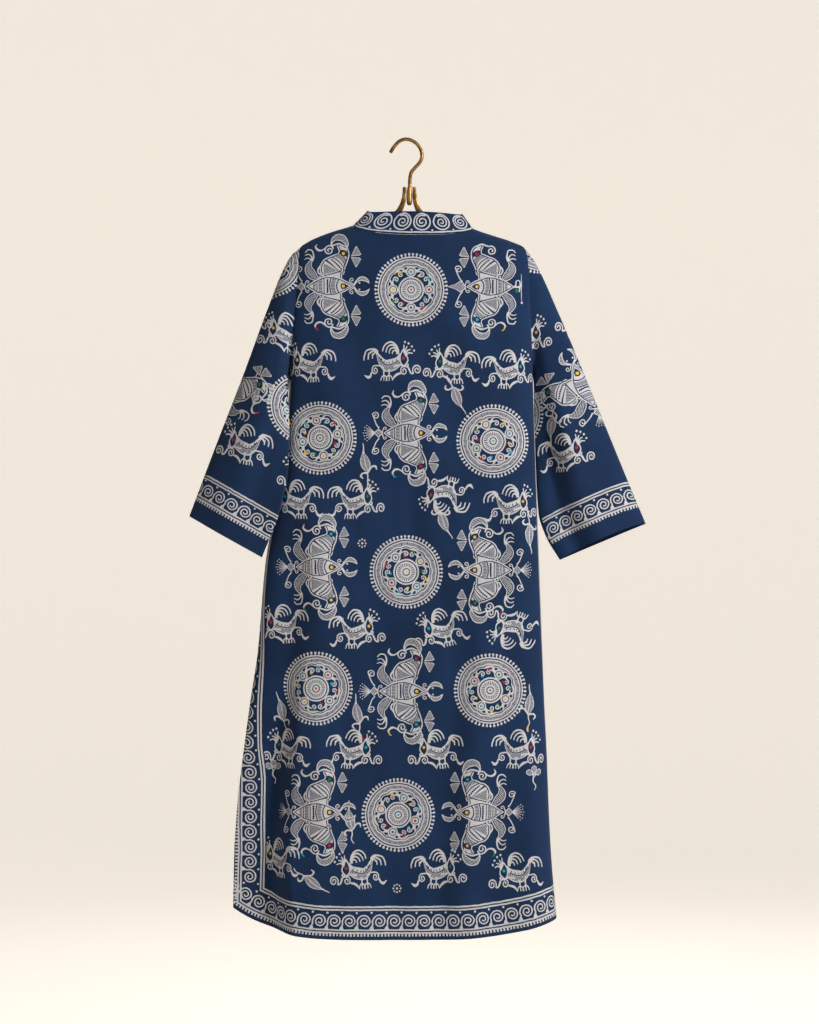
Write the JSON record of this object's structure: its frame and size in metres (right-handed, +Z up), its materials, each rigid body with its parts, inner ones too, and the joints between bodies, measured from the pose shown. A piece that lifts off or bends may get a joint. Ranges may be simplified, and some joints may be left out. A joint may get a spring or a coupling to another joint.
{
  "type": "ethnic festival jacket on a hanger",
  "caption": "Long indigo cotton festival jacket with white wax-resist print, stand collar, wide sleeves and side slits, hung on a brass wire hanger.",
  "frame": {"origin": "the inner top of the hanger's hook, where the whole thing hangs", "axes": "+Z up; -Y is the jacket's back, which faces the viewer; +X is the wearer's right, the viewer's right"},
  "size_m": [0.7524, 0.0891, 1.3169],
  "materials": {
    "cotton": "matte indigo cotton with white wax-resist print",
    "brass": "aged satin brass"
  },
  "bodies": {
    "root": {"back": "cotton", "front_left": "cotton", "front_right": "cotton", "sleeve_left": "cotton", "sleeve_right": "cotton", "collar": "cotton", "hanger_hook": "brass", "hanger_ferrule": "brass", "hanger_arm_left": "brass", "hanger_arm_right": "brass"}
  },
  "joints": []
}
